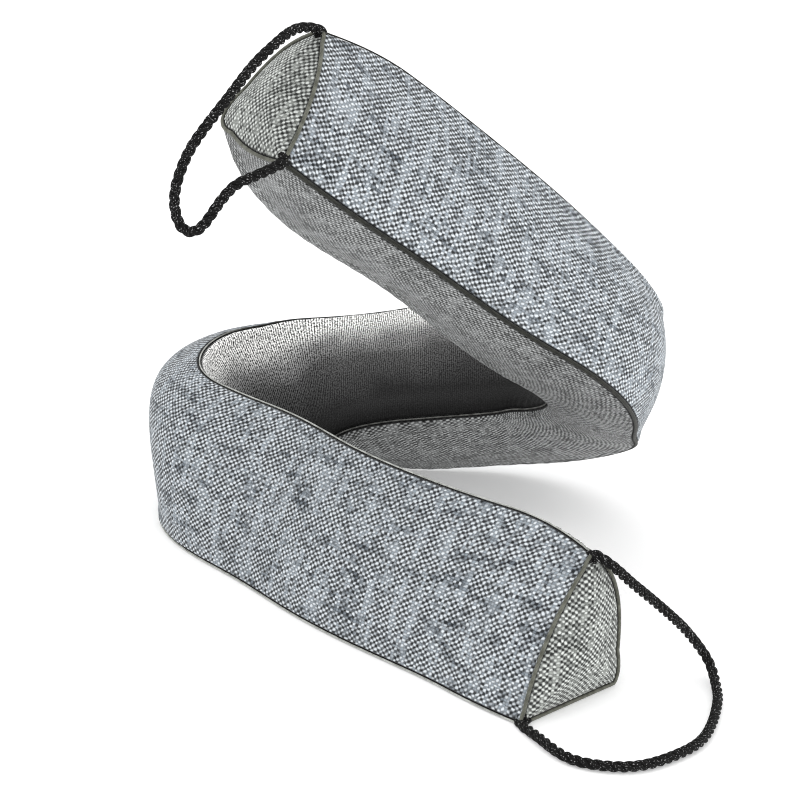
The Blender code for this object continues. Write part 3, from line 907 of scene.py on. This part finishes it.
def ribbed_charcoal():
    """Charcoal polyester with fine ribs from the ridge down, painted paler towards the ridge as a
    painted highlight where the cloth turns up to the light, and with a soft sheen that blurs the
    highlights."""
    material, tree, spot = cloth_material("ribbed_charcoal_polyester", 0.85, 0.08)
    parts = add(tree, "ShaderNodeSeparateXYZ", None, {0: spot})
    # Both halves of a wave make a rib, so a wave is two ribs long
    wave = waves(tree, parts.outputs[0], 2 * RIB_PITCH)
    rib = add(tree, "ShaderNodeMath", {"operation": "ABSOLUTE"}, {0: wave}).outputs[0]
    squeezed = add(tree, "ShaderNodeMapping", None,
                   {0: spot, "Scale": (1 / GRAIN_SIZE[0], 1 / GRAIN_SIZE[1], 1)})
    grain = add(tree, "ShaderNodeTexNoise", {"noise_dimensions": "2D"},
                {"Vector": squeezed.outputs[0], "Scale": 1.0, "Detail": 2.0}).outputs["Fac"]
    height = add(tree, "ShaderNodeMath", {"operation": "MULTIPLY_ADD"},
                 {0: grain, 1: GRAIN_WEIGHT, 2: rib}).outputs[0]
    # Painted highlight: the colour is pale at the ridge, where the cloth turns up to the light, and
    # darkens down the back, its edge drifting a little
    patches = add(tree, "ShaderNodeTexNoise", {"noise_dimensions": "2D"},
                  {"Vector": spot, "Scale": 1 / FADE_DRIFT_SIZE, "Detail": 2.0})
    drift = add(tree, "ShaderNodeMath", {"operation": "MULTIPLY_ADD"},
                {0: patches.outputs["Fac"], 1: FADE_DRIFT, 2: parts.outputs[1]})
    fade = add(tree, "ShaderNodeMapRange", None,
               {"Value": drift.outputs[0], "From Min": FADE_FROM, "From Max": FADE_TO})
    ramp = add(tree, "ShaderNodeValToRGB", None, {0: fade.outputs[0]})
    while len(ramp.color_ramp.elements) < len(BACK_PAINTED_HIGHLIGHT):
        ramp.color_ramp.elements.new(0.5)
    for element, (place, code) in zip(ramp.color_ramp.elements, BACK_PAINTED_HIGHLIGHT):
        element.position = place
        element.color = linear(code)
    # Painted light and shade: the colour is brighter on the crests of the ribs and grain and darker
    # in their hollows
    lit = add(tree, "ShaderNodeMapRange", None,
              {"Value": height, "From Min": 1.7, "From Max": 2.8, "To Min": 0.0, "To Max": 1.9})
    shade = add(tree, "ShaderNodeMath", {"operation": "MULTIPLY"},
                {0: lit.outputs[0], 1: seam_shade(tree, 0.08)})
    colour = add(tree, "ShaderNodeVectorMath", {"operation": "SCALE"},
                 {0: ramp.outputs[0], "Scale": shade.outputs[0]})
    dress(tree, colour.outputs[0], height, 0.5, 0.0003)
    return material


def piping_cover(name, pale, shade, highlight_pale, highlight_shade):
    """Cotton piping cover, cut on the bias: a close twill whose lines slant round the cord.
    Along its seam it goes from one pair of colours to a later one; where the later pair is paler, it
    is a painted highlight where the seam catches the light."""
    material, tree, spot = cloth_material(name, 0.7, 0.1)
    parts = add(tree, "ShaderNodeSeparateXYZ", None, {0: spot})
    slant = add(tree, "ShaderNodeMath", {"operation": "ADD"},
                {0: parts.outputs[0], 1: parts.outputs[1]})
    wave = waves(tree, slant.outputs[0], TWILL_PITCH)
    worn = add(tree, "ShaderNodeTexNoise", {"noise_dimensions": "2D"},
               {"Vector": spot, "Scale": 1 / WORN_SIZE, "Detail": 3.0})
    mixed = add(tree, "ShaderNodeMath", {"operation": "MULTIPLY_ADD"},
                {0: wave, 1: TWILL_TONE, 2: worn.outputs["Fac"]})
    share = add(tree, "ShaderNodeMapRange", None,
                {"Value": mixed.outputs[0], "From Min": 0.3, "From Max": 0.7})
    first = add(tree, "ShaderNodeMix", {"data_type": "RGBA"},
                {0: share.outputs[0], 6: linear(shade), 7: linear(pale)}).outputs[2]
    later = add(tree, "ShaderNodeMix", {"data_type": "RGBA"},
                {0: share.outputs[0], 6: linear(highlight_shade), 7: linear(highlight_pale)}).outputs[2]
    # Past this length along the seam the cover takes its later colours, painted paler as a painted
    # highlight
    beyond = add(tree, "ShaderNodeMapRange", None,
                 {"Value": parts.outputs[0], "From Min": HIGHLIGHT_FROM,
                  "From Max": HIGHLIGHT_FROM + HIGHLIGHT_OVER})
    colour = add(tree, "ShaderNodeMix", {"data_type": "RGBA"},
                 {0: beyond.outputs[0], 6: first, 7: later})
    dress(tree, colour.outputs[2], wave, 0.4, 0.0002)
    return material


def laid_rope():
    """Black spun polyester rope: yarns that slant along each strand, with pale fibre flecks."""
    material, tree, spot = cloth_material("laid_polyester_rope", 0.85, 0.0)
    parts = add(tree, "ShaderNodeSeparateXYZ", None, {0: spot})
    slant = add(tree, "ShaderNodeMath", {"operation": "MULTIPLY_ADD"},
                {0: parts.outputs[1], 1: ROPE_YARN_SLANT, 2: parts.outputs[0]})
    wave = waves(tree, slant.outputs[0], ROPE_YARN_PITCH)
    fleck = add(tree, "ShaderNodeTexNoise", {"noise_dimensions": "2D"},
                {"Vector": spot, "Scale": 1 / FLECK_SIZE, "Detail": 1.0})
    shown = add(tree, "ShaderNodeMapRange", None,
                {"Value": fleck.outputs["Fac"], "From Min": 0.67, "From Max": 0.76})
    colour = add(tree, "ShaderNodeMix", {"data_type": "RGBA"},
                 {0: shown.outputs[0], 6: linear("#040404"), 7: linear("#a8a8a8")})
    dress(tree, colour.outputs[2], wave, 0.5, 0.0003)
    return material


def set_camera():
    """A long lens, a little above the excluder and turned slightly about its own axis."""
    elevation, roll = math.radians(ELEVATION), math.radians(ROLL)
    back = Vector((0, -math.cos(elevation), math.sin(elevation)))
    level_up = Vector((0, math.sin(elevation), math.cos(elevation)))
    right = Vector((math.cos(roll), 0, 0)) + level_up * math.sin(roll)
    up = Vector((-math.sin(roll), 0, 0)) + level_up * math.cos(roll)
    camera = bpy.data.objects.new("camera", bpy.data.cameras.new("camera"))
    camera.matrix_world = Matrix((right, up, back)).transposed().to_4x4()
    camera.location = Vector((-ORIGIN[0], -ORIGIN[1], AIM_HEIGHT)) + back * DISTANCE
    camera.data.sensor_width = 36
    camera.data.lens = LENS
    bpy.context.scene.collection.objects.link(camera)
    bpy.context.scene.camera = camera


def set_studio():
    """A white table, a pale world and large soft lights."""
    bm = bmesh.new()
    bmesh.ops.create_grid(bm, x_segments=1, y_segments=1, size=FLOOR_REACH)
    mesh = bpy.data.meshes.new("floor")
    bm.to_mesh(mesh)
    bm.free()
    floor = bpy.data.objects.new("floor", mesh)
    bpy.context.scene.collection.objects.link(floor)
    material = bpy.data.materials.new("matt_white_board")
    material.use_nodes = True
    shader = material.node_tree.nodes["Principled BSDF"]
    shader.inputs["Base Color"].default_value = linear("#f7f7f7")
    shader.inputs["Roughness"].default_value = 0.9
    # A little light of its own keeps the shadows on it faint, as on a light table
    shader.inputs["Emission Color"].default_value = (1, 1, 1, 1)
    shader.inputs["Emission Strength"].default_value = FLOOR_GLOW
    mesh.materials.append(material)
    world = bpy.data.worlds.new("studio")
    world.use_nodes = True
    world.node_tree.nodes["Background"].inputs["Color"].default_value = (1, 1, 1, 1)
    world.node_tree.nodes["Background"].inputs["Strength"].default_value = 1.0
    bpy.context.scene.world = world
    for name, place, size, power in LAMPS:
        lamp = bpy.data.lights.new(name, "AREA")
        lamp.shape = "SQUARE"
        lamp.size = size
        lamp.energy = power
        light = bpy.data.objects.new(name, lamp)
        light.location = place
        light.rotation_mode = "QUATERNION"
        light.rotation_quaternion = (Vector(LAMPS_AIM) - Vector(place)).to_track_quat("-Z", "Y")
        bpy.context.scene.collection.objects.link(light)
    bpy.context.scene.view_settings.view_transform = "Standard"
    bpy.context.scene.cycles.filter_width = PIXEL_FILTER


set_camera()
set_studio()
rope = laid_rope()
rope_loop("upper", 0.0, UPPER_LOOP, rope)
rope_loop("lower", 1.0, LOWER_LOOP, rope)
front_weave = woven("melange_woven_polyester_front", "#dae0e5", "#757d85", "#06090c", "#8e979f", 1.1)
# The base is the front's woven cloth in a more neutral grey, painted darker as painted shade for a
# face that turns down, away from the light
shaded_base_weave = woven("melange_woven_polyester_base", "#bec0c0", "#767878", "#0a0b0b", "#808282", 1.1)
end_weave = woven("melange_woven_polyester_ends", "#d8dcd8", "#808480", "#080b08", "#949893", 1.0)
stuffed_front(front_weave)
sewn_sheet("back_cloth", "back_panel", BACK, ribbed_charcoal())
sewn_sheet("base_cloth", "base_panel", BASE, shaded_base_weave)
# One cover: its later, paler pair is a painted highlight where the front pipings catch the light
# past the second fold
seam_piping = piping_cover("bias_cotton_piping_seams", "#2c2d27", "#12130f", "#c9cbc6", "#8d8f8a")
back_piping = piping_cover("bias_cotton_piping_back", "#6b6b68", "#3c3c3a", "#6b6b68", "#3c3c3a")
olive_piping = piping_cover("bias_cotton_piping_ends", "#6c6d63", "#4b4c43", "#6c6d63", "#4b4c43")
long_piping("front_base_piping_cord", "piping_front_base", FRONT, front_base_girth, seam_piping)
long_piping("front_back_piping_cord", "piping_front_back", BACK, fine_girth, seam_piping)
long_piping("base_back_piping_cord", "piping_base_back", BASE, fine_girth, back_piping)
for level, t in (("upper", 0.0), ("lower", 1.0)):
    end_cloth(level, t, end_weave)
    end_piping(level, t, olive_piping)

bpy.context.view_layer.update()
